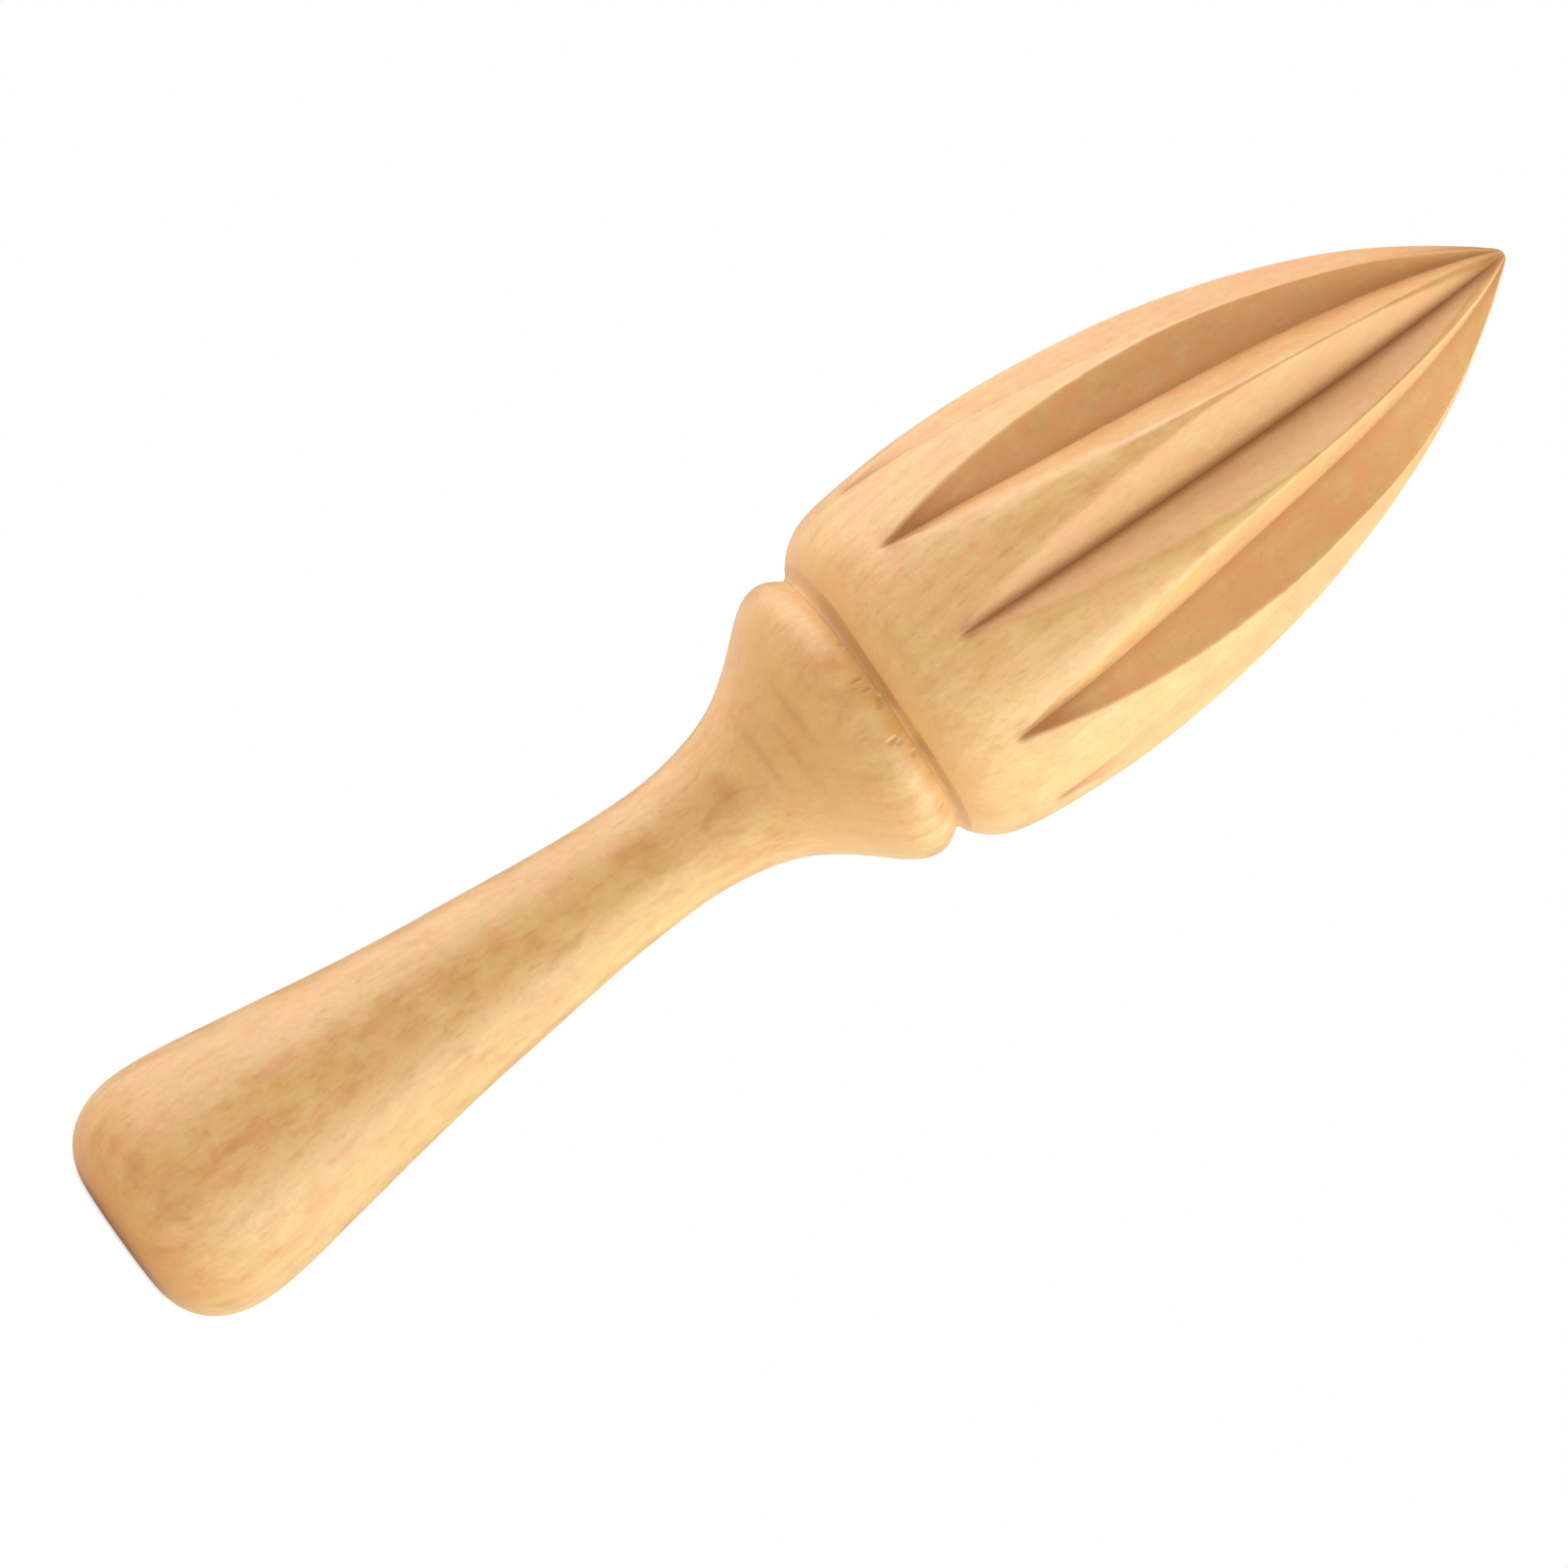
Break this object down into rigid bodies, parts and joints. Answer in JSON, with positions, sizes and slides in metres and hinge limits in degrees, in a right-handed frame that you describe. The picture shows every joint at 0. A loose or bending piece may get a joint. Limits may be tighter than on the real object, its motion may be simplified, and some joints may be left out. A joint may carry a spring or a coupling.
{
  "type": "wooden lemon squeezer",
  "caption": "Hand lemon squeezer in pale wood: a flared turned handle glued into a pointed reamer head with V-shaped flutes, for twisting juice out of a halved lemon.",
  "frame": {"origin": "centre of the flat face at the handle's butt, on which the squeezer can be stood", "axes": "+Z along the turning axis from the butt to the reamer's tip; one flute lies on the -Y side, and +X is to the right when looking along +Y"},
  "size_m": [0.039, 0.0388, 0.1646],
  "materials": {
    "handle_wood": "fine sanded beech-like wood, lightly oiled, satin",
    "head_wood": "fine sanded beech-like wood with milled flutes, satin"
  },
  "bodies": {
    "root": {"handle": "handle_wood", "reamer_head": "head_wood"}
  },
  "joints": []
}
